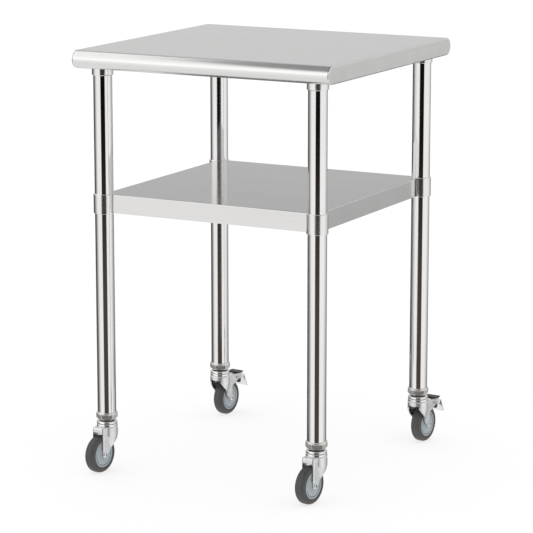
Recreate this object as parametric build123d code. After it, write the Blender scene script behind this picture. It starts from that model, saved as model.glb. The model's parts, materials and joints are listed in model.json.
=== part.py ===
from build123d import *
import math
import os

# Kitchen island cart: a square stainless worktop with rolled front and back edges, four round
# legs, one undershelf clamped to the legs, and four swivel casters, the rear pair with brakes.
# Millimetres, +Z up, +X to the cart's right, -Y its front. The floor is z = 0.

# ---- driving dimensions ----
TOP_SIZE = 609.6            # worktop, side to side and front to back
TOP_HEIGHT = 927.0          # floor to worktop
EDGE_HEIGHT = 38.5          # height of the rolled edges and side flanges
SHEET = 1.2                 # worktop and shelf sheet
SIDE_BEND = 2.5             # outer bend radius of the worktop's side flanges
SIDE_LIP = 12.0             # return lip under each side flange
ROLL_LIP = 4.0              # flat lip behind each rolled edge, underneath
SEAM_WIDTH = 1.0            # welded seam where a rolled edge meets the side flange
SEAM_DEPTH = 0.6

LEG_SPACING = 514.0         # between leg axes, both ways
LEG_RADIUS = 20.3
LEG_WALL = 1.5
LEG_BOTTOM = 131.3
LEG_TOP = 905.0

SOCKET_BOTTOM = 873.0
SOCKET_WALL = 2.7
SOCKET_CHAMFER = 1.2
SOCKET_SCREW_Z = 895.0

CHANNEL_WIDTH = 48.0        # U-channels welded under the worktop
CHANNEL_DEPTH = 16.0
CHANNEL_WALL = 1.5
CHANNEL_LENGTH = 584.0

SHELF_TOP = 615.6
SHELF_WIDTH = 516.0
SHELF_DEPTH = 520.0
SHELF_FLANGE = 40.6
SHELF_HEM = 8.0
SHELF_BEND = 1.5
SHELF_CHANNEL = (460.0, 60.0, 22.0)     # length, width and depth of the shelf's stiffener
COLLAR_CLEARANCE = 0.1      # the collars slide on the legs
COLLAR_WALL = 2.6
COLLAR_HEIGHT = 42.6
COLLAR_RISE = 0.6           # collar rim above the shelf
COLLAR_ROUND = 0.9

SCREW_RADIUS = 3.0
SCREW_LENGTH = 5.5
SCREW_HEX = 3.0
SCREW_HEX_DEPTH = 2.0

INSERT_RING_RADIUS = 22.9   # threaded foot insert at the bottom of each leg
INSERT_RING_HEIGHT = 5.0
INSERT_RING_ROUND = 1.6
INSERT_BOTTOM = 114.0
INSERT_FLATS = 41.0         # spanner hexagon under the ring, chamfered below
INSERT_CHAMFER_TOP = 119.5
INSERT_CHAMFER_RADII = (17.5, 23.5)
INSERT_PLUG_TOP = 152.0

STEM_RADIUS = 6.0
WASHER_RADIUS = 15.5
HEAD_RADIUS = 22.4
HEAD_TOP = 112.0
HEAD_BOTTOM = 106.6
HEAD_ROUND = 2.6
RACE_RADIUS = 22.8
RACE_BORE = 8.5
RACE_TOP = 105.8
RACE_ROUND = 2.0
RIM_ROUND = 0.8             # lower rims of the swivel's rings
BALL_RADIUS = 2.35
BALL_CIRCLE = 15.0
BALL_Z = 106.2
BALL_COUNT = 12
BALL_TRACK_RADIUS = 2.45

CASTER_TRAIL = 26.0         # wheel axle behind the swivel axis
FRONT_SWIVEL = 8.0          # how far the front casters stand turned to the left, degrees
REAR_SWIVEL = 5.5           # how far the rear casters stand turned to the right, degrees
WHEEL_RADIUS = 41.0
TYRE_WIDTH = 24.0
TYRE_SHOULDER = 8.0
TYRE_BEAD = 1.6             # narrow step where the tyre meets the hub
HUB_RADIUS = 28.5
HUB_WIDTH = 24.0
HUB_BOSS_RADIUS = 11.5
HUB_BOSS_SLOPE = 1.5
HUB_DISH = (2.2, 1.2)       # depth of the dish at the boss and towards the rim
HUB_GROOVE = (23.2, 25.2)   # inner and outer radius of the ring groove
HUB_GROOVE_DEPTH = 4.0
HUB_RIM_DEPTH = 0.8
AXLE_RADIUS = 3.5
AXLE_CLEARANCE = 0.05
BUSH_RADIUS = 6.5

FORK_HALF_WIDTH = 15.5
FORK_WALL = 2.2
FORK_CORNER = 5.0           # corner round of the hood over the wheel, seen from above
CROWN_RADIUS = 23.2
CROWN_TOP = 100.2
CROWN_THICKNESS = 2.4
CROWN_LIP_BOTTOM = 90.0
CROWN_ROUND = 3.0
NECK_TOP = 80.0             # the fork's round neck narrows downwards from here
NECK_BOTTOM = 47.0
PLATE_EDGE = ((8.5, 49.5), (0.5, 61.2), (-9.0, 71.5), (-16.4, 83.0))   # along the swept edge
PLATE_SHOULDER = (-25.0, 92.0)
PLATE_TURN = 215.0          # where the swept edge leaves the round axle end, degrees
AXLE_END_RADIUS = 7.5
SPACER_RADIUS = 7.0
SPACER_THICKNESS = 1.0
EAR_WEB = ((27.5, 68.0), (52.0, 78.8), (50.0, 93.5), (27.5, 97.8))   # braked fork, to the pin
BOLT_HEAD = (5.4, 2.6)      # radius and height
BOLT_HEAD_ROUND = 1.6
BOLT_KEY = (4.2, 1.5)       # hex recess, across flats and depth
NUT_FLATS = 13.0
NUT_HEIGHT = 5.0
NUT_ROUND = 7.6
BOLT_OVERHANG = 6.5         # past the fork on the nut side

PEDAL_PIN = (50.0, 86.0)    # trail-wise place and height of the brake pivot
PEDAL_PIN_RADIUS = 2.5
PEDAL_PIN_CLEARANCE = 0.06
PEDAL_EAR_RADIUS = 7.5
PEDAL_HALF_WIDTH = 12.6
PEDAL_TONGUE_HALF_WIDTH = 17.0
PEDAL_PLATE = 2.0
PEDAL_TOP = 93.0            # middle of the pressed plate's flat
PEDAL_BEND = (74.0, 93.0)   # where the flat turns down into the tongue
PEDAL_TIP = (90.0, 58.0)
PEDAL_BEND_RADIUS = 8.0
PEDAL_ARM_RADIUS = 6.0
PEDAL_ARM = ((49.0, 92.0), (49.0, 80.4), (66.0, 79.0), (79.4, 79.0), (76.0, 87.0), (72.0, 92.0))
PEDAL_FLAT_START = 52.0
TONGUE_TOP = 88.0           # the tongue is wider than the pedal below this height
PIN_HEAD = (1.5, 1.5)       # how far the pin's head stands out round the pin, and its height
TAB_RANGE = (52.0, 74.0)
TAB_TOP = 97.4
TAB_OVERHANG = 3.0          # past the pedal on each side
TAB_ROUND = 1.2
SHOE_HALF_WIDTH = 9.5
SHOE_SIDE = ((60.0, 92.0), (68.0, 92.0), (75.0, 80.0), (73.0, 68.6), (66.5, 68.6), (60.0, 80.0))

# The origin lies under the middle of the whole outline. The brake pedals reach further back
# than the front wheels reach forward, so the worktop's middle stands this far in front of it.
FRAME_SHIFT = -12.6

# ---- derived places ----
LEG_OFFSET = LEG_SPACING / 2
TOP_HALF = TOP_SIZE / 2
ROLL_RADIUS = EDGE_HEIGHT / 2
ROLL_Y = TOP_HALF - ROLL_RADIUS
TOP_UNDERSIDE = TOP_HEIGHT - SHEET
CHANNEL_BOTTOM = TOP_UNDERSIDE - CHANNEL_DEPTH
RING_BOTTOM = LEG_BOTTOM - INSERT_RING_HEIGHT
COLLAR_INNER = LEG_RADIUS + COLLAR_CLEARANCE
COLLAR_OUTER = COLLAR_INNER + COLLAR_WALL
COLLAR_TOP = SHELF_TOP + COLLAR_RISE
FORK_INNER = FORK_HALF_WIDTH - FORK_WALL
FORK_REACH = CASTER_TRAIL + AXLE_END_RADIUS
KINGPIN_BOTTOM = CROWN_TOP - CROWN_THICKNESS - 2.6
CROWN_UNDERSIDE = CROWN_TOP - CROWN_THICKNESS
TALL = 400.0                # taller or longer than anything it cuts

# corner: (side, front or back)
CORNERS = {
    "front_left": (-1, -1),
    "front_right": (1, -1),
    "rear_left": (-1, 1),
    "rear_right": (1, 1),
}


def rod(radius, low, high):
    """A vertical cylinder between two heights."""
    return Pos(0, 0, (low + high) / 2) * Cylinder(radius, high - low)


def tube(outer, inner, low, high):
    """A vertical tube between two heights."""
    return rod(outer, low, high) - rod(inner, low, high)


def block(x_range, y_range, z_range):
    """A box from its limits along each axis."""
    sizes = [high - low for low, high in (x_range, y_range, z_range)]
    middle = [(low + high) / 2 for low, high in (x_range, y_range, z_range)]
    return Pos(*middle) * Box(*sizes)


def side_extrusion(face, half_width):
    """A face drawn in the YZ plane, thickened equally to both sides along X."""
    return extrude(face, amount=half_width, both=True)


def corner_place(corner):
    """The leg axis at a corner, on the floor."""
    side, depth = CORNERS[corner]
    return Pos(side * LEG_OFFSET, depth * LEG_OFFSET, 0)


# ---- worktop ----
def stadium(inset, half_length):
    """The worktop's section swept along X: two rolled edges joined by flats."""
    height = EDGE_HEIGHT - 2 * inset
    length = TOP_SIZE - 2 * inset
    section = Plane.YZ * SlotOverall(length, height)
    middle = Pos(0, 0, TOP_HEIGHT - ROLL_RADIUS)
    return middle * side_extrusion(section, half_length)


def worktop_skin():
    body = stadium(0, TOP_HALF)
    top_sides = body.edges().filter_by(Axis.Y).group_by(Axis.Z)[-1]
    body = fillet(top_sides, SIDE_BEND)
    body -= stadium(SHEET, TOP_HALF - SHEET)
    open_x = TOP_HALF - SHEET - SIDE_LIP
    open_y = ROLL_Y - ROLL_LIP
    body -= Pos(0, 0, TOP_HEIGHT - EDGE_HEIGHT) * Box(2 * open_x, 2 * open_y, 4 * SHEET)
    groove = stadium(-SHEET, SEAM_WIDTH / 2) - stadium(SEAM_DEPTH, SEAM_WIDTH)
    groove -= Pos(0, 0, TOP_HEIGHT) * Box(4 * SEAM_WIDTH, 2 * ROLL_Y, TALL)
    seam_x = TOP_HALF - SIDE_BEND
    for side in (-1, 1):
        body -= Pos(side * seam_x, 0, 0) * groove
    return body


def u_channel(length, width, depth, wall, top):
    """A channel open upwards, running along X, welded by its edges to the sheet above."""
    outer = block((-length / 2, length / 2), (-width / 2, width / 2), (top - depth, top))
    inner_half = width / 2 - wall
    inner = block((-length, length), (-inner_half, inner_half), (top - depth + wall, top + wall))
    return outer - inner


def worktop_cross_channels():
    channel = u_channel(CHANNEL_LENGTH, CHANNEL_WIDTH, CHANNEL_DEPTH, CHANNEL_WALL, TOP_UNDERSIDE)
    return [Pos(0, depth * LEG_OFFSET, 0) * channel for depth in (-1, 1)]


def worktop_centre_channel():
    length = LEG_SPACING - CHANNEL_WIDTH
    channel = u_channel(length, CHANNEL_WIDTH, CHANNEL_DEPTH, CHANNEL_WALL, TOP_UNDERSIDE)
    return Rot(0, 0, 90) * channel


# ---- legs and their sockets ----
def at_corners(piece):
    """Four separate copies of a piece, one at each leg axis."""
    return [corner_place(corner) * piece for corner in CORNERS]


def facing_middle(piece):
    """Four copies of a piece drawn facing +X, each turned to face the cart's middle."""
    copies = []
    for corner, (side, depth) in CORNERS.items():
        heading = math.degrees(math.atan2(-depth, -side))
        copies.append(corner_place(corner) * Rot(0, 0, heading) * piece)
    return copies


def set_screw(tip, height):
    """A headless hex-socket screw lying along +X from its tip radius."""
    shank = Cylinder(SCREW_RADIUS, SCREW_LENGTH)
    key = extrude(RegularPolygon(SCREW_HEX / 2, 6, major_radius=False), SCREW_HEX_DEPTH)
    screw = shank - Pos(0, 0, SCREW_LENGTH / 2 - SCREW_HEX_DEPTH) * key
    return Pos(tip + SCREW_LENGTH / 2, 0, height) * Rot(0, 90, 0) * screw


def screw_hole(height):
    """The drilled hole for a set screw, along +X from the axis."""
    return Pos(LEG_RADIUS, 0, height) * Rot(0, 90, 0) * Cylinder(SCREW_RADIUS, 4 * SOCKET_WALL)


def leg_sockets():
    outer = LEG_RADIUS + SOCKET_WALL
    socket = tube(outer, LEG_RADIUS, SOCKET_BOTTOM, CHANNEL_BOTTOM)
    rim = socket.edges().filter_by(GeomType.CIRCLE).group_by(Axis.Z)[0].sort_by(SortBy.RADIUS)[-1]
    socket = chamfer(rim, SOCKET_CHAMFER)
    return facing_middle(socket - screw_hole(SOCKET_SCREW_Z))


def leg_tube():
    return tube(LEG_RADIUS, LEG_RADIUS - LEG_WALL, LEG_BOTTOM, LEG_TOP)


def foot_inserts():
    """A flanged plug in each tube: a rounded ring, a chamfered spanner hexagon, a stem bore."""
    ring = rod(INSERT_RING_RADIUS, RING_BOTTOM, LEG_BOTTOM)
    ring = fillet(ring.edges(), INSERT_RING_ROUND)
    flat_facing = Rot(0, 0, 30)
    outline = flat_facing * RegularPolygon(INSERT_FLATS / 2, 6, major_radius=False)
    hexagon = raised(outline, INSERT_BOTTOM, RING_BOTTOM + INSERT_RING_ROUND)
    low_radius, high_radius = INSERT_CHAMFER_RADII
    chamfer_height = INSERT_CHAMFER_TOP - INSERT_BOTTOM
    envelope = rod(high_radius, INSERT_CHAMFER_TOP, LEG_BOTTOM)
    middle = INSERT_BOTTOM + chamfer_height / 2
    envelope += Pos(0, 0, middle) * Cone(low_radius, high_radius, chamfer_height)
    plug = rod(LEG_RADIUS - LEG_WALL, LEG_BOTTOM - 1, INSERT_PLUG_TOP)
    return at_corners(ring + (hexagon & envelope) + plug - rod(STEM_RADIUS, 0, TALL))


# ---- shelf ----
def shelf_pan():
    half = (SHELF_WIDTH / 2, SHELF_DEPTH / 2)
    low = SHELF_TOP - SHELF_FLANGE
    body = block((-half[0], half[0]), (-half[1], half[1]), (low, SHELF_TOP))
    body = fillet(body.edges().group_by(Axis.Z)[-1], SHELF_BEND)
    inner = [value - SHEET for value in half]
    body -= block((-inner[0], inner[0]), (-inner[1], inner[1]), (low + SHEET, SHELF_TOP - SHEET))
    mouth = [value - SHEET - SHELF_HEM for value in half]
    body -= block((-mouth[0], mouth[0]), (-mouth[1], mouth[1]), (low - SHEET, low + 2 * SHEET))
    for corner in CORNERS:
        body -= corner_place(corner) * rod(COLLAR_OUTER, low - SHEET, SHELF_TOP + SHEET)
    return body


def shelf_channel():
    length, width, depth = SHELF_CHANNEL
    return u_channel(length, width, depth, CHANNEL_WALL, SHELF_TOP - SHEET)


def shelf_collars():
    low = COLLAR_TOP - COLLAR_HEIGHT
    collar = tube(COLLAR_OUTER, COLLAR_INNER, low, COLLAR_TOP)
    rims = collar.edges().filter_by(GeomType.CIRCLE).filter_by(
        lambda edge: edge.radius > (COLLAR_INNER + COLLAR_OUTER) / 2)
    collar = fillet(rims, COLLAR_ROUND)
    return facing_middle(collar - screw_hole(low + COLLAR_HEIGHT / 2))


# ---- casters: +Y is the trail, +X the axle, the stem axis is at the origin ----
def ball_track(radius):
    return Pos(0, 0, BALL_Z) * Torus(BALL_CIRCLE, radius)


def caster_stem():
    """The threaded stem, which carries on down as the swivel's kingpin to its riveted end."""
    rivet = rod(STEM_RADIUS + 2.5, KINGPIN_BOTTOM - 1.5, CROWN_UNDERSIDE - 0.8)
    return rod(STEM_RADIUS, KINGPIN_BOTTOM, INSERT_PLUG_TOP - 5) + rivet


def swivel_head():
    body = rod(HEAD_RADIUS, HEAD_BOTTOM, HEAD_TOP)
    body = fillet(body.edges().group_by(Axis.Z)[-1], HEAD_ROUND)
    body = fillet(body.edges().group_by(Axis.Z)[0], RIM_ROUND)
    return body - rod(STEM_RADIUS, 0, TALL) - ball_track(BALL_TRACK_RADIUS)


def swivel_balls():
    """A ring of balls in each swivel."""
    balls = []
    for step in range(BALL_COUNT):
        angle = 2 * math.pi * step / BALL_COUNT
        x, y = BALL_CIRCLE * math.cos(angle), BALL_CIRCLE * math.sin(angle)
        balls.append(Pos(x, y, BALL_Z) * Sphere(BALL_RADIUS))
    return [corner_place(corner) * ball for corner in CORNERS for ball in balls]


def lower_race():
    body = rod(RACE_RADIUS, CROWN_TOP, RACE_TOP)
    body = fillet(body.edges().group_by(Axis.Z)[-1], RACE_ROUND)
    body = fillet(body.edges().group_by(Axis.Z)[0], RIM_ROUND)
    return body - rod(RACE_BORE, 0, TALL) - ball_track(BALL_TRACK_RADIUS)


def raised(face, low, high):
    return extrude(Pos(0, 0, low) * face, high - low)


def fork_form(inset, top):
    """The fork's outside as if it were solid: a hood over the wheel and a round, tapering neck."""
    width = 2 * (FORK_HALF_WIDTH - inset)
    length = FORK_REACH - 2 * inset
    hood = Pos(0, FORK_REACH / 2) * Rectangle(width, length)
    hood = fillet(hood.vertices().group_by(Axis.Y)[-1], FORK_CORNER - inset)
    taper = Cone(FORK_HALF_WIDTH - inset, CROWN_RADIUS - inset, NECK_TOP - NECK_BOTTOM)
    taper = Pos(0, 0, (NECK_TOP + NECK_BOTTOM) / 2) * taper
    return raised(hood, 0, top) + rod(CROWN_RADIUS - inset, NECK_TOP, top) + taper


def fork_side():
    """The side of the fork: full at the crown, swept down to a narrow round end at the axle."""
    axle = (CASTER_TRAIL, WHEEL_RADIUS)
    turn = math.radians(PLATE_TURN)
    leave = (axle[0] + AXLE_END_RADIUS * math.cos(turn), axle[1] + AXLE_END_RADIUS * math.sin(turn))
    leave_heading = (math.sin(turn), -math.cos(turn))
    top_corner = (PLATE_SHOULDER[0], CROWN_UNDERSIDE)
    line = Line(PLATE_SHOULDER, top_corner)
    line += Line(top_corner, (FORK_REACH, CROWN_UNDERSIDE))
    line += Line((FORK_REACH, CROWN_UNDERSIDE), (FORK_REACH, axle[1]))
    line += ThreePointArc((FORK_REACH, axle[1]), (axle[0], axle[1] - AXLE_END_RADIUS), leave)
    line += Spline(leave, *PLATE_EDGE, PLATE_SHOULDER, tangents=[leave_heading, (-0.94, 0.35)])
    return Plane.YZ * make_face(line)


def brake_ear():
    """The part of a braked fork's side that carries the pedal pin."""
    return Plane.YZ * (Polygon(*EAR_WEB, align=None) + Pos(*PEDAL_PIN) * Circle(PEDAL_EAR_RADIUS))


def cross_hole(radius, y, z):
    """A hole right through along X."""
    return Pos(0, y, z) * Rot(0, 90, 0) * Cylinder(radius, TALL)


def fork(braked):
    """A pressed fork: a round crown, a hood over the wheel and two sides swept to the axle."""
    form = fork_form(0, CROWN_TOP)
    form = fillet(form.edges().group_by(Axis.Z)[-1], CROWN_ROUND)
    shell = form - fork_form(FORK_WALL, CROWN_UNDERSIDE)
    crown = block((-TALL, TALL), (-TALL, TALL), (CROWN_LIP_BOTTOM, TALL))
    wheel_space = block((-FORK_INNER, FORK_INNER), (-TALL, TALL), (-TALL, CROWN_LIP_BOTTOM))
    body = (shell & (crown + side_extrusion(fork_side(), TALL))) - wheel_space
    if braked:
        ears = side_extrusion(brake_ear(), FORK_HALF_WIDTH)
        body += ears - side_extrusion(brake_ear(), FORK_INNER)
    body -= rod(STEM_RADIUS + 0.6, 0, TALL)
    body -= cross_hole(AXLE_RADIUS, CASTER_TRAIL, WHEEL_RADIUS)
    if braked:
        body -= cross_hole(PEDAL_PIN_RADIUS, *PEDAL_PIN)
    return body


def on_axle(piece):
    """Turn a piece drawn round Z onto the axle, its +Z end towards +X."""
    return Pos(0, CASTER_TRAIL, WHEEL_RADIUS) * Rot(0, 90, 0) * piece


def axle_bolt(head_side):
    """A button-head bolt through the fork; head_side is 1 for +X and -1 for -X."""
    head_radius, head_height = BOLT_HEAD
    head_top = FORK_HALF_WIDTH + head_height
    head = rod(head_radius, FORK_HALF_WIDTH, head_top)
    head = fillet(head.edges().group_by(Axis.Z)[-1], BOLT_HEAD_ROUND)
    shank = rod(AXLE_RADIUS, -FORK_HALF_WIDTH - BOLT_OVERHANG, FORK_HALF_WIDTH + 1)
    flats, depth = BOLT_KEY
    key = raised(RegularPolygon(flats / 2, 6, major_radius=False), head_top - depth, head_top + 1)
    bolt = shank + head - key
    return on_axle(bolt if head_side > 0 else Rot(180, 0, 0) * bolt)


def axle_nut(head_side):
    nut = extrude(RegularPolygon(NUT_FLATS / 2, 6, major_radius=False), NUT_HEIGHT)
    nut = nut & Pos(0, 0, NUT_HEIGHT / 2) * Sphere(NUT_ROUND)
    nut = Pos(0, 0, -FORK_HALF_WIDTH - NUT_HEIGHT) * nut - rod(AXLE_RADIUS, -TALL, TALL)
    return on_axle(nut if head_side > 0 else Rot(180, 0, 0) * nut)


def axle_spacers():
    spacer = tube(SPACER_RADIUS, AXLE_RADIUS, FORK_INNER - SPACER_THICKNESS, FORK_INNER)
    return [on_axle(spacer), on_axle(Rot(180, 0, 0) * spacer)]


def half_turned(outline):
    """A wheel part turned from one half of its section: points of radius and offset along X."""
    mirrored = [(radius, -offset_x) for radius, offset_x in reversed(outline)]
    return revolve(Plane.XZ * Polygon(*outline, *mirrored, align=None), Axis.Z)


def wheel_hub():
    """A moulded disc with a raised boss, a shallow dish and one ring groove."""
    half = HUB_WIDTH / 2
    boss_dish, rim_dish = HUB_DISH
    groove_in, groove_out = HUB_GROOVE
    groove_face = half - HUB_GROOVE_DEPTH
    rim_face = half - HUB_RIM_DEPTH
    section = [(BUSH_RADIUS, half), (HUB_BOSS_RADIUS, half),
               (HUB_BOSS_RADIUS + HUB_BOSS_SLOPE, half - boss_dish), (groove_in, half - rim_dish),
               (groove_in, groove_face), (groove_out, groove_face),
               (groove_out, rim_face), (HUB_RADIUS, rim_face)]
    return on_axle(half_turned(section))


def wheel_tyre():
    half = TYRE_WIDTH / 2
    section = [(HUB_RADIUS, half - HUB_RIM_DEPTH), (HUB_RADIUS + TYRE_BEAD, half), (WHEEL_RADIUS, half)]
    tyre = half_turned(section)
    shoulders = tyre.edges().filter_by(GeomType.CIRCLE).filter_by(
        lambda edge: edge.radius > WHEEL_RADIUS - 0.1)
    return on_axle(fillet(shoulders, TYRE_SHOULDER))


def wheel_bush():
    half = HUB_WIDTH / 2
    return on_axle(tube(BUSH_RADIUS, AXLE_RADIUS + AXLE_CLEARANCE, -half, half))


def brake_pin():
    """The headed pin that the pedal turns on."""
    half = FORK_HALF_WIDTH
    head_rim, head_height = PIN_HEAD
    head_radius = PEDAL_PIN_RADIUS + head_rim
    pin = rod(PEDAL_PIN_RADIUS, -half, half)
    pin += rod(head_radius, half, half + head_height)
    pin += rod(head_radius, -half - head_height, -half)
    return Pos(0, *PEDAL_PIN) * Rot(0, 90, 0) * pin


def brake_pedal():
    """A pressed pedal: two arms on the pin, a web across them and a flared foot tongue."""
    start = (PEDAL_FLAT_START, PEDAL_TOP)
    bend = FilletPolyline(start, PEDAL_BEND, PEDAL_TIP, radius=PEDAL_BEND_RADIUS)
    plate = Plane.YZ * trace(bend, PEDAL_PLATE)
    web = side_extrusion(plate, PEDAL_HALF_WIDTH)
    tongue_space = block((-TALL, TALL), (PEDAL_BEND[0], TALL), (0, TONGUE_TOP))
    tongue = side_extrusion(plate, PEDAL_TONGUE_HALF_WIDTH) & tongue_space
    arm = Polygon(*PEDAL_ARM, align=None) + Pos(*PEDAL_PIN) * Circle(PEDAL_ARM_RADIUS)
    arm = Plane.YZ * arm
    arms = side_extrusion(arm, PEDAL_HALF_WIDTH)
    arms -= side_extrusion(arm, PEDAL_HALF_WIDTH - PEDAL_PLATE)
    pedal = web + tongue + arms
    return pedal - cross_hole(PEDAL_PIN_RADIUS + PEDAL_PIN_CLEARANCE, *PEDAL_PIN)


def brake_tab():
    """The moulded release tab on top of the pedal."""
    half = PEDAL_HALF_WIDTH + TAB_OVERHANG
    tab = block((-half, half), TAB_RANGE, (PEDAL_TOP + PEDAL_PLATE / 2, TAB_TOP))
    return fillet(tab.edges().group_by(Axis.Z)[-1], TAB_ROUND)


def brake_shoe():
    """The rubber shoe under the pedal, which the pedal swings onto the tyre."""
    return side_extrusion(Plane.YZ * Polygon(*SHOE_SIDE, align=None), SHOE_HALF_WIDTH)


# ---- writing the pieces ----
def write(name, shape, place=Pos(0, 0, 0)):
    """Export one node at its place; a list is a group of separate solids."""
    solids = shape if isinstance(shape, list) else [shape]
    placed = [Pos(0, FRAME_SHIFT, 0) * place * solid for solid in solids]
    export_step(Compound(children=placed) if len(placed) > 1 else placed[0], f"parts/{name}.step")


def caster_pieces(corner):
    """Each piece of one caster by name, still in the caster's own frame."""
    front = CORNERS[corner][1] < 0
    head_side = -1 if front else 1
    pieces = {
        "fork": fork(braked=not front),
        "swivel_race": lower_race(),
        "axle_bolt": axle_bolt(head_side),
        "axle_nut": axle_nut(head_side),
        "axle_spacers": axle_spacers(),
        "wheel_hub": wheel_hub(),
        "tyre": wheel_tyre(),
        "wheel_bush": wheel_bush(),
    }
    if not front:
        pieces["brake_pin"] = brake_pin()
        pieces["brake_pedal"] = brake_pedal()
        pieces["brake_tab"] = brake_tab()
        pieces["brake_shoe"] = brake_shoe()
    return pieces


os.makedirs("parts", exist_ok=True)

write("worktop_skin", worktop_skin())
write("worktop_cross_channels", worktop_cross_channels())
write("worktop_centre_channel", worktop_centre_channel())
write("leg_sockets", leg_sockets())
write("socket_set_screws", facing_middle(set_screw(LEG_RADIUS, SOCKET_SCREW_Z)))
write("foot_inserts", foot_inserts())
write("caster_stems", at_corners(caster_stem()))
write("stem_washers", at_corners(tube(WASHER_RADIUS, STEM_RADIUS, HEAD_TOP, INSERT_BOTTOM)))
write("swivel_heads", at_corners(swivel_head()))
write("swivel_balls", swivel_balls())
write("shelf_pan", shelf_pan())
write("shelf_channel", shelf_channel())
write("shelf_collars", shelf_collars())
shelf_screw_z = COLLAR_TOP - COLLAR_HEIGHT / 2
write("shelf_set_screws", facing_middle(set_screw(COLLAR_INNER + 0.3, shelf_screw_z)))

for corner in CORNERS:
    write(f"{corner}_leg", leg_tube(), corner_place(corner))
    heading = 180 - FRONT_SWIVEL if corner.startswith("front") else -REAR_SWIVEL
    place = corner_place(corner) * Rot(0, 0, heading)
    for piece_name, piece in caster_pieces(corner).items():
        write(f"{corner}_{piece_name}", piece, place)
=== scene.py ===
import json
import math

import bmesh
import bpy
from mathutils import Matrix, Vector


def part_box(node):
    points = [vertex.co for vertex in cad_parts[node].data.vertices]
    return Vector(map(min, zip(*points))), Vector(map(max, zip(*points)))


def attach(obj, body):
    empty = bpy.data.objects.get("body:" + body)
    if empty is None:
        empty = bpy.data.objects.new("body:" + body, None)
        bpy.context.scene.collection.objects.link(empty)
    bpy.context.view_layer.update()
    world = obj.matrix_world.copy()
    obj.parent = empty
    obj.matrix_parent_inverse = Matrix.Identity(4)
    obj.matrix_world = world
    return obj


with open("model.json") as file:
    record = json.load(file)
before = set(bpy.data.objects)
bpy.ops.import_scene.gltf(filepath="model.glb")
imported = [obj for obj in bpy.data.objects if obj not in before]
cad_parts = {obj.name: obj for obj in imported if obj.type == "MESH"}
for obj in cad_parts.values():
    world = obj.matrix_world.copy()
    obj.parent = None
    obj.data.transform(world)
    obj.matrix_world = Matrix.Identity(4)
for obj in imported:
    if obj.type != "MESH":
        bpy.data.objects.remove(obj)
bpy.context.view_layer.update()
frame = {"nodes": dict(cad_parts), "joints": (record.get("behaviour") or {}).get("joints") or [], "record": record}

CORNERS = ("front_left", "front_right", "rear_left", "rear_right")

# ---- camera: it stands to the front right and looks at the table's middle ----
SHOWN_AZIMUTH = math.radians(27.81)
SHOWN_ELEVATION = math.radians(11.63)
CAMERA_DISTANCE = 5.625
LENS_MM = 171.94
SENSOR_MM = 36.0
AIM_BELOW_TOP = 0.494
AIM_ASIDE = 0.00245
FURTHEST_SEEN = 200


def make_camera():
    """A long lens from the front right, a little above the worktop."""
    top_low, top_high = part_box("worktop_skin")
    middle = (top_low + top_high) / 2
    turn, rise = SHOWN_AZIMUTH, SHOWN_ELEVATION
    back = Vector((math.sin(turn) * math.cos(rise), -math.cos(turn) * math.cos(rise), math.sin(rise)))
    right = Vector((math.cos(turn), math.sin(turn), 0))
    aim = Vector((middle.x, middle.y, top_high.z - AIM_BELOW_TOP)) + right * AIM_ASIDE
    data = bpy.data.cameras.new("camera")
    data.lens = LENS_MM
    data.sensor_width = SENSOR_MM
    data.clip_end = FURTHEST_SEEN
    camera = bpy.data.objects.new("camera", data)
    camera.location = aim + back * CAMERA_DISTANCE
    camera.rotation_mode = "QUATERNION"
    camera.rotation_quaternion = (-back).to_track_quat("-Z", "Y")
    bpy.context.scene.collection.objects.link(camera)
    bpy.context.scene.camera = camera


# ---- node trees ----
class Tree:
    """Adds and links shader nodes in one node tree."""

    def __init__(self, tree):
        self.tree = tree
        tree.nodes.clear()

    def add(self, kind):
        return self.tree.nodes.new(kind)

    def feed(self, socket, value):
        """Links another node's socket to this one, or sets this one's number or colour."""
        if isinstance(value, bpy.types.NodeSocket):
            self.tree.links.new(value, socket)
        else:
            socket.default_value = value

    def split(self, vector):
        """The x, y and z of a vector."""
        node = self.add("ShaderNodeSeparateXYZ")
        self.feed(node.inputs[0], vector)
        return node.outputs

    def math(self, operation, *values):
        node = self.add("ShaderNodeMath")
        node.operation = operation
        for socket, value in zip(node.inputs, values):
            self.feed(socket, value)
        return node.outputs[0]

    def remap(self, value, low, high, to_low=0.0, to_high=1.0, smooth=True):
        """value from low..high to to_low..to_high, held at both ends."""
        node = self.add("ShaderNodeMapRange")
        node.interpolation_type = "SMOOTHSTEP" if smooth else "LINEAR"
        for socket, number in zip(node.inputs, (value, low, high, to_low, to_high)):
            self.feed(socket, number)
        return node.outputs[0]

    def mix(self, factor, first, second):
        """A colour between two colours; a Mix node's colour sockets are found by their type."""
        node = self.add("ShaderNodeMix")
        node.data_type = "RGBA"
        colours = [socket for socket in node.inputs if socket.type == "RGBA"]
        self.feed(node.inputs[0], factor)
        self.feed(colours[0], first)
        self.feed(colours[1], second)
        return [socket for socket in node.outputs if socket.type == "RGBA"][0]

    def finish(self, kind, surface):
        """Ends the tree in its output node."""
        self.feed(self.add(kind).inputs["Surface"], surface)


def grey(level):
    return (level, level, level, 1.0)


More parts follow.
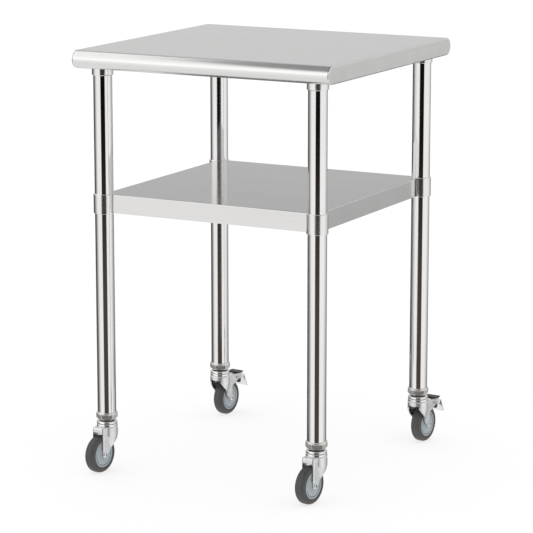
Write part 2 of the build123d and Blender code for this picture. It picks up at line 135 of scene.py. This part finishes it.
# ---- studio: what polished steel mirrors, as tones of light and the degrees where they change ----
LEFT_WALL = 1.3
LEFT_WALL_NEAR = (-20.0, -34.0)
LEFT_WALL_FAR = (-116.0, -96.0)
BACK_WALL = (0.80, 0.60)        # near the horizon and higher up
BACK_WALL_RISE = (4.0, 13.0)
BACK_WALL_TURN = (112.0, 150.0)
LOW_WALL = 1.02                 # below the horizon, fading towards the back
LOW_WALL_FADED = 0.10
LOW_RISE = (-3.0, -17.0)
LOW_LEAN = (-4.0, 10.0)         # the fade starts sooner further down, by this times a side's lean
RIGHT_LEAN = 3.0
RIGHT_FADE = (97.0, 172.0)
LEFT_LEAN = 1.5
LEFT_FADE = (78.0, 122.0)
HORIZON = (-5.0, 2.0)
CEILING = 0.28
CEILING_RISE = (30.0, 44.0)
NEAR_FLOOR = 0.92
NEAR_FLOOR_RISE = (-24.0, -34.0)
CARD_BLACK = 0.004              # a dark card in front
CARD_BROWN = (0.075, 0.062, 0.054, 1.0)
CARD_BROWN_RISE = (-8.4, -12.5)
CARD_GREY = 0.16
CARD_GREY_RISE = (1.0, 8.0)
CARD_RIGHT = (30.0, 25.0)
CARD_LEFT = (-29.0, -24.0)
CARD_TOP = (24.0, 17.0)
CARD_BOTTOM = (-40.0, -30.0)

SOFTBOX_X = (-3.2, -0.9)        # overhead, to the left, so the rolled edge brightens that way
SOFTBOX_Y = (-3.2, 0.8)
SOFTBOX_Z = 2.5
SOFTBOX_GLOW = 1.15
FLOOR_SIZE = 60.0
FLOOR_PAINT = 0.32
FLOOR_GLOW = 0.71


def mirrored_room(t):
    """The colour of the room in each direction.

    Directions are measured from the shown side: across is the turn away from it and rise the
    height above the horizon, both in degrees.
    """
    turned = t.add("ShaderNodeVectorRotate")
    turned.rotation_type = "Z_AXIS"
    t.feed(turned.inputs["Vector"], t.add("ShaderNodeTexCoord").outputs["Generated"])
    t.feed(turned.inputs["Angle"], -SHOWN_AZIMUTH)
    x, y, z = t.split(turned.outputs[0])
    across = t.math("DEGREES", t.math("ARCTAN2", x, t.math("MULTIPLY", y, -1.0)))
    aside = t.math("ABSOLUTE", across)
    rise = t.math("DEGREES", t.math("ARCSINE", z))

    # walls above the horizon: a bright one on the left, a dimmer one at the back
    left = t.math("MULTIPLY", t.remap(across, *LEFT_WALL_NEAR), t.remap(across, *LEFT_WALL_FAR))
    high = t.mix(left, grey(1.0), grey(LEFT_WALL))
    back_low, back_high = BACK_WALL
    back = t.mix(t.remap(rise, *BACK_WALL_RISE), grey(back_low), grey(back_high))
    high = t.mix(t.remap(aside, *BACK_WALL_TURN), high, back)
    # walls below it fade towards the back on both sides, sooner further down
    lean = t.remap(rise, *LOW_RISE, *LOW_LEAN, smooth=False)
    right_turn = t.math("ADD", across, t.math("MULTIPLY", lean, RIGHT_LEAN))
    left_turn = t.math("SUBTRACT", t.math("MULTIPLY", lean, LEFT_LEAN), across)
    right_fade = t.remap(right_turn, *RIGHT_FADE, smooth=False)
    left_fade = t.remap(left_turn, *LEFT_FADE, smooth=False)
    low = t.mix(t.math("MAXIMUM", right_fade, left_fade), grey(LOW_WALL), grey(LOW_WALL_FADED))
    room = t.mix(t.remap(rise, *HORIZON), low, high)
    # ceiling, and the floor close by
    room = t.mix(t.remap(rise, *CEILING_RISE), room, grey(CEILING))
    room = t.mix(t.remap(rise, *NEAR_FLOOR_RISE), room, grey(NEAR_FLOOR))
    # the card is brown-grey further down and grey above the horizon
    card = t.mix(t.remap(rise, *CARD_BROWN_RISE), grey(CARD_BLACK), CARD_BROWN)
    card = t.mix(t.remap(rise, *CARD_GREY_RISE), card, grey(CARD_GREY))
    in_card = t.math("MULTIPLY", t.remap(across, *CARD_RIGHT), t.remap(across, *CARD_LEFT))
    in_card = t.math("MULTIPLY", in_card, t.remap(rise, *CARD_TOP))
    in_card = t.math("MULTIPLY", in_card, t.remap(rise, *CARD_BOTTOM))
    return t.mix(in_card, room, card)


def make_world():
    """Plain white for the eye and for soft light, and the room for what steel mirrors."""
    world = bpy.data.worlds.new("studio")
    world.use_nodes = True
    bpy.context.scene.world = world
    t = Tree(world.node_tree)
    mirrored = t.add("ShaderNodeBackground")
    t.feed(mirrored.inputs["Color"], mirrored_room(t))
    plain = t.add("ShaderNodeBackground")
    t.feed(plain.inputs["Color"], grey(1.0))
    pick = t.add("ShaderNodeMixShader")
    t.feed(pick.inputs[0], t.add("ShaderNodeLightPath").outputs["Is Glossy Ray"])
    t.feed(pick.inputs[1], plain.outputs[0])
    t.feed(pick.inputs[2], mirrored.outputs[0])
    t.finish("ShaderNodeOutputWorld", pick.outputs[0])


def stage_sheet(name, x_range, y_range, height):
    """A level rectangle of the studio with a material of its own, and that material's tree."""
    corners = [(x_range[0], y_range[0], height), (x_range[1], y_range[0], height),
               (x_range[1], y_range[1], height), (x_range[0], y_range[1], height)]
    mesh = bpy.data.meshes.new(name)
    mesh.from_pydata(corners, [], [(0, 1, 2, 3)])
    material = bpy.data.materials.new(name)
    material.use_nodes = True
    mesh.materials.append(material)
    sheet = bpy.data.objects.new(name, mesh)
    bpy.context.scene.collection.objects.link(sheet)
    return sheet, Tree(material.node_tree)


def make_softbox():
    """A glowing panel that only shows in reflections."""
    panel, t = stage_sheet("softbox", SOFTBOX_X, SOFTBOX_Y, SOFTBOX_Z)
    panel.visible_camera = False
    panel.visible_diffuse = False
    panel.visible_shadow = False
    glow = t.add("ShaderNodeEmission")
    t.feed(glow.inputs["Color"], grey(SOFTBOX_GLOW))
    t.finish("ShaderNodeOutputMaterial", glow.outputs[0])


def make_floor():
    """A plain pale floor, bright enough that only soft contact shadows show on it."""
    half = FLOOR_SIZE / 2
    floor, t = stage_sheet("floor", (-half, half), (-half, half), 0.0)
    floor.visible_glossy = False
    paint = t.add("ShaderNodeBsdfDiffuse")
    t.feed(paint.inputs["Color"], grey(FLOOR_PAINT))
    glow = t.add("ShaderNodeEmission")
    t.feed(glow.inputs["Color"], grey(FLOOR_GLOW))
    both = t.add("ShaderNodeAddShader")
    t.feed(both.inputs[0], paint.outputs[0])
    t.feed(both.inputs[1], glow.outputs[0])
    t.finish("ShaderNodeOutputMaterial", both.outputs[0])


# ---- materials: noise scales are features a metre, and bump distances are metres ----
GRAIN_SCALE = 40.0
GRAIN_ALONG_X = (0.06, 28, 28)
GRAIN_ALONG_Y = (28, 0.06, 28)
GRAIN_DEPTH = 0.0002
SHEET_PATCHES = (7.0, (0.35, 2.6, 1.2), 4.0)     # scale, stretch and detail
SIDE_FACING = (0.6, 0.8)        # how far a face's normal leans to the side, and up, to count as such
LEVEL_FACING = (0.75, 0.95)
DRAWN_LINES = (60.0, (14, 14, 0.05))
TUBE_SMUDGES = (9.0, (1, 1, 0.5), 4.0)
TUBE_TONES = ((0.785, 0.775, 0.763, 1), (0.835, 0.827, 0.817, 1))
DRAWN_STRENGTH = 0.015
DRAWN_DEPTH = 0.0002
MOTTLE_SCALE = 90.0
PLATING_DEPTH = 0.0003
MOULDED_SCALE = 38.0
SKIN_SCALE = 1400.0
SKIN_DEPTH = 0.0001


def new_material(name, metallic):
    """A material with its tree, its Principled shader and its object coordinates."""
    material = bpy.data.materials.new(name)
    material.use_nodes = True
    t = Tree(material.node_tree)
    shader = t.add("ShaderNodeBsdfPrincipled")
    shader.inputs["Metallic"].default_value = metallic
    t.finish("ShaderNodeOutputMaterial", shader.outputs[0])
    place = t.add("ShaderNodeTexCoord").outputs["Object"]
    return material, t, shader, place


def noise(t, place, scale, stretch=(1, 1, 1), detail=3.0):
    """Noise with scale features a metre, shrunk along an axis where stretch is large."""
    mapping = t.add("ShaderNodeMapping")
    t.feed(mapping.inputs["Vector"], place)
    mapping.inputs["Scale"].default_value = stretch
    texture = t.add("ShaderNodeTexNoise")
    t.feed(texture.inputs["Vector"], mapping.outputs[0])
    texture.inputs["Scale"].default_value = scale
    texture.inputs["Detail"].default_value = detail
    return texture.outputs[0]


def bump(t, shader, height, strength, distance):
    node = t.add("ShaderNodeBump")
    node.inputs["Strength"].default_value = strength
    node.inputs["Distance"].default_value = distance
    t.feed(node.inputs["Height"], height)
    t.feed(shader.inputs["Normal"], node.outputs[0])


def sheet_steel(name, dark, light, rough, grain, level_shade=1.0):
    """Brushed stainless sheet: grain runs left to right, and front to back on the side flanges.

    Its level faces carry painted shade: both tones there are multiplied by the last argument.
    """
    material, t, shader, place = new_material(name, metallic=1.0)
    facing = t.split(t.add("ShaderNodeNewGeometry").outputs["Normal"])
    sideways = t.remap(t.math("ABSOLUTE", facing[0]), *SIDE_FACING)
    level = t.remap(t.math("ABSOLUTE", facing[2]), *LEVEL_FACING)
    along_x = noise(t, place, GRAIN_SCALE, GRAIN_ALONG_X)
    along_y = noise(t, place, GRAIN_SCALE, GRAIN_ALONG_Y)
    fine = t.math("ADD", t.math("MULTIPLY", along_y, sideways),
                  t.math("MULTIPLY", along_x, t.math("SUBTRACT", 1.0, sideways)))
    broad = noise(t, place, *SHEET_PATCHES)
    tone = t.math("ADD", t.math("MULTIPLY", fine, 0.5), t.math("MULTIPLY", broad, 0.5))
    lightness = t.remap(tone, 0.35, 0.65, smooth=False)
    # painted shade: darker copies of both tones, used on the level faces
    shaded_dark = [channel * level_shade for channel in dark[:3]] + [1.0]
    shaded_light = [channel * level_shade for channel in light[:3]] + [1.0]
    unshaded = t.mix(lightness, dark, light)
    level_shaded = t.mix(lightness, shaded_dark, shaded_light)
    t.feed(shader.inputs["Base Color"], t.mix(level, unshaded, level_shaded))
    t.feed(shader.inputs["Roughness"], t.remap(tone, 0.3, 0.7, *rough, smooth=False))
    bump(t, shader, fine, grain, GRAIN_DEPTH)
    return material


def tube_steel(name, dark, light, rough):
    """Polished stainless tube with faint drawing lines along it."""
    material, t, shader, place = new_material(name, metallic=1.0)
    lines = noise(t, place, *DRAWN_LINES)
    smudge = noise(t, place, *TUBE_SMUDGES)
    t.feed(shader.inputs["Base Color"], t.mix(t.remap(smudge, 0.3, 0.7, smooth=False), dark, light))
    t.feed(shader.inputs["Roughness"], t.remap(smudge, 0.35, 0.7, *rough, smooth=False))
    bump(t, shader, lines, DRAWN_STRENGTH, DRAWN_DEPTH)
    return material


def plated(name, dark, light, rough, grain, strength):
    """Plated or cast steel with a mottled, slightly pitted skin."""
    material, t, shader, place = new_material(name, metallic=1.0)
    mottle = noise(t, place, MOTTLE_SCALE, detail=5.0)
    pits = noise(t, place, grain, detail=2.0)
    t.feed(shader.inputs["Base Color"], t.mix(t.remap(mottle, 0.35, 0.65, smooth=False), dark, light))
    t.feed(shader.inputs["Roughness"], t.remap(pits, 0.3, 0.7, *rough, smooth=False))
    bump(t, shader, t.math("ADD", mottle, pits), strength, PLATING_DEPTH)
    return material


def moulded(name, dark, light, rough, strength):
    """Moulded plastic or rubber with a fine skin and slow changes of tone."""
    material, t, shader, place = new_material(name, metallic=0.0)
    slow = noise(t, place, MOULDED_SCALE, detail=4.0)
    skin = noise(t, place, SKIN_SCALE, detail=2.0)
    t.feed(shader.inputs["Base Color"], t.mix(t.remap(slow, 0.3, 0.7, smooth=False), dark, light))
    t.feed(shader.inputs["Roughness"], t.remap(slow, 0.3, 0.7, *rough, smooth=False))
    bump(t, shader, skin, strength, SKIN_DEPTH)
    return material


# one finish for each slot of the record, some finer ones of the same metals, and a copy of the sheet with painted
# shade for the shelf:
# the kind, its dark and light tones, its least and most roughness, and that kind's own settings
FINISHES = {
    "satin_sheet": (sheet_steel, (0.74, 0.735, 0.73, 1), (0.80, 0.797, 0.79, 1), (0.20, 0.28), 0.08),
    # painted shade: the shelf's sheet is a darker copy of satin_sheet, for the shade under the worktop, and its
    # level faces are darkened further; its lower roughness is the shelf's smoother finish
    "shelf_sheet": (sheet_steel, (0.70, 0.69, 0.685, 1), (0.745, 0.735, 0.73, 1), (0.09, 0.14), 0.02, 0.63),
    "polished_tube": (tube_steel, *TUBE_TONES, (0.055, 0.10)),
    "satin_tube": (tube_steel, *TUBE_TONES, (0.19, 0.26)),
    "cast_zinc": (plated, (0.74, 0.71, 0.69, 1), (0.86, 0.835, 0.815, 1), (0.30, 0.42), 700, 0.15),
    "chrome_plate": (plated, (0.80, 0.80, 0.80, 1), (0.88, 0.88, 0.88, 1), (0.10, 0.18), 400, 0.04),
    "pressed_zinc": (plated, (0.75, 0.75, 0.76, 1), (0.86, 0.86, 0.87, 1), (0.32, 0.46), 500, 0.06),
    "weld": (plated, (0.55, 0.54, 0.53, 1), (0.72, 0.70, 0.67, 1), (0.25, 0.4), 900, 0.2),
    "galvanised": (plated, (0.52, 0.53, 0.54, 1), (0.66, 0.67, 0.68, 1), (0.3, 0.55), 160, 0.15),
    "bearing_steel": (plated, (0.6, 0.6, 0.6, 1), (0.7, 0.7, 0.7, 1), (0.2, 0.3), 500, 0.1),
    "black_plastic": (moulded, (0.010, 0.010, 0.010, 1), (0.016, 0.016, 0.017, 1), (0.35, 0.5), 0.1),
    "grey_plastic": (moulded, (0.33, 0.375, 0.405, 1), (0.38, 0.425, 0.455, 1), (0.3, 0.42), 0.05),
    "grey_rubber": (moulded, (0.050, 0.048, 0.047, 1), (0.072, 0.070, 0.068, 1), (0.45, 0.62), 0.25),
    "black_rubber": (moulded, (0.012, 0.012, 0.012, 1), (0.02, 0.02, 0.02, 1), (0.6, 0.8), 0.2),
}


def make_materials():
    """Each finish's material, by the finish's name."""
    return {name: kind(name, *settings) for name, (kind, *settings) in FINISHES.items()}


# the shelf pan takes the sheet copy with painted shade
FINER_FINISH = {"shelf_pan": "shelf_sheet", "leg_sockets": "satin_tube", "shelf_collars": "satin_tube"}
FINER_FINISH.update({f"{corner}_fork": "pressed_zinc" for corner in CORNERS})


def paint_cad_nodes(materials):
    """Each CAD node takes the material of its slot in the record, or its own finer finish."""
    slot_of = {part["node"]: part["material_slot"] for part in frame["record"]["subparts"]}
    for name, node in frame["nodes"].items():
        finish = FINER_FINISH.get(name, slot_of[name])
        node.data.materials.clear()
        node.data.materials.append(materials[finish])


# ---- small pieces that the frame leaves out ----
RIPPLE_LENGTH = 0.0024          # one ripple of a weld bead
RIPPLE_RINGS = 4
RIPPLE_DEPTH = 0.2              # as a share of the bead's radius
BEAD_RADIUS = 0.0013
BEAD_SIDES = 10
BEAD_END = 0.35                 # the radius at a bead's ends, as a share
BEAD_SWELL = 12                 # how fast a bead grows to its full radius
SHORTEST_BEAD = 3               # in ripples
COLLAR_BEAD_MARGIN = 0.002
TACK_LENGTH = 0.022
TACKS = 7
RING_RADIUS = 0.0316            # moulded ring on each side of a tyre
RING_OFFSET = 0.0119
RING_THICKNESS = 0.0005
RING_STEPS = 96
RING_SIDES = 8
UP = Vector((0, 0, 1))


def circle_points(mesh, centre, across, up, radius, sides):
    points = []
    for side in range(sides):
        angle = 2 * math.pi * side / sides
        points.append(mesh.verts.new(centre + radius * (math.cos(angle) * across + math.sin(angle) * up)))
    return points


def join_rings(mesh, rings, closed):
    """Faces between rings of points that follow each other, with end caps unless closed."""
    pairs = list(zip(rings, rings[1:]))
    if closed:
        pairs.append((rings[-1], rings[0]))
    for first, second in pairs:
        for side in range(len(first)):
            after = (side + 1) % len(first)
            mesh.faces.new((first[side], first[after], second[after], second[side]))
    if not closed:
        mesh.faces.new(rings[0][::-1])
        mesh.faces.new(rings[-1])


def finish_piece(name, mesh, material, body):
    """Turns the mesh into a smooth piece that rides on a body."""
    bmesh.ops.recalc_face_normals(mesh, faces=mesh.faces)
    data = bpy.data.meshes.new(name)
    mesh.to_mesh(data)
    mesh.free()
    for face in data.polygons:
        face.use_smooth = True
    data.materials.append(material)
    piece = bpy.data.objects.new(name, data)
    bpy.context.scene.collection.objects.link(piece)
    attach(piece, body)


def add_bead(mesh, start, end):
    """One weld bead: a line of ripples between two points, thinner at both ends."""
    run = end - start
    direction = run.normalized()
    across = direction.orthogonal().normalized()
    up = direction.cross(across)
    count = RIPPLE_RINGS * max(SHORTEST_BEAD, round(run.length / RIPPLE_LENGTH))
    rings = []
    for step in range(count + 1):
        along = step / count
        ripple = 1 - RIPPLE_DEPTH + RIPPLE_DEPTH * abs(math.sin(math.pi * step / RIPPLE_RINGS))
        taper = min(1.0, BEAD_END + BEAD_SWELL * min(along, 1 - along))
        rings.append(circle_points(mesh, start + run * along, across, up,
                                   BEAD_RADIUS * ripple * taper, BEAD_SIDES))
    join_rings(mesh, rings, closed=False)


def make_collar_welds(material):
    """Upright beads where the shelf's flanges meet the collars."""
    pan_low, pan_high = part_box("shelf_pan")
    collar_low, collar_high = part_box("shelf_collars")
    shelf_middle = (pan_low + pan_high) / 2
    half_size = (pan_high - pan_low) / 2
    bottom = Vector((0, 0, pan_low.z + COLLAR_BEAD_MARGIN))
    top = Vector((0, 0, pan_high.z - COLLAR_BEAD_MARGIN))
    mesh = bmesh.new()
    for corner in CORNERS:
        leg_low, leg_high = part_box(f"{corner}_leg")
        leg = (leg_low + leg_high) / 2
        radius = (collar_high.x - collar_low.x) / 2 - abs(leg.x)
        side_x = 1 if leg.x > shelf_middle.x else -1
        side_y = 1 if leg.y > shelf_middle.y else -1
        flange_x = shelf_middle.x + side_x * half_size.x
        flange_y = shelf_middle.y + side_y * half_size.y
        reach_y = math.sqrt(radius ** 2 - (flange_x - leg.x) ** 2)
        reach_x = math.sqrt(radius ** 2 - (flange_y - leg.y) ** 2)
        feet = [(flange_x, leg.y - side_y * reach_y), (leg.x - side_x * reach_x, flange_y)]
        for x, y in feet:
            foot = Vector((x, y, 0))
            add_bead(mesh, foot + bottom, foot + top)
    finish_piece("shelf_collar_welds", mesh, material, "shelf")


def make_channel_welds(material):
    """Short beads along both edges of the cross channels, under the worktop."""
    low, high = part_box("worktop_cross_channels")
    leg_low, leg_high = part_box("front_left_leg")
    channel_width = leg_low.y + leg_high.y - 2 * low.y
    mesh = bmesh.new()
    for edge_y in (low.y, low.y + channel_width, high.y - channel_width, high.y):
        for tack in range(TACKS):
            x = low.x + (tack + 0.5) / TACKS * (high.x - low.x)
            middle = Vector((x, edge_y, high.z - BEAD_RADIUS))
            half_run = Vector((TACK_LENGTH / 2, 0, 0))
            add_bead(mesh, middle - half_run, middle + half_run)
    finish_piece("channel_welds", mesh, material, "cart_frame")


def make_tyre_rings(material):
    """A fine moulded ring on both sides of each tyre, round its wheel's own axle."""
    joints = {joint["name"]: joint for joint in frame["joints"]}
    for corner in CORNERS:
        roll = joints[f"{corner}_roll"]
        centre = Vector(roll["pos_m"])
        axle = Vector(roll["axis"]).normalized()
        ahead = axle.cross(UP)
        mesh = bmesh.new()
        for side in (-1, 1):
            rings = []
            for step in range(RING_STEPS):
                angle = 2 * math.pi * step / RING_STEPS
                outward = math.cos(angle) * ahead + math.sin(angle) * UP
                place = centre + side * RING_OFFSET * axle + RING_RADIUS * outward
                rings.append(circle_points(mesh, place, outward, axle, RING_THICKNESS, RING_SIDES))
            join_rings(mesh, rings, closed=True)
        finish_piece(f"{corner}_tyre_rings", mesh, material, f"{corner}_wheel")


make_camera()
bpy.context.scene.view_settings.view_transform = "Standard"
make_world()
make_floor()
make_softbox()
materials = make_materials()
paint_cad_nodes(materials)
make_collar_welds(materials["weld"])
make_channel_welds(materials["weld"])
make_tyre_rings(materials["grey_rubber"])
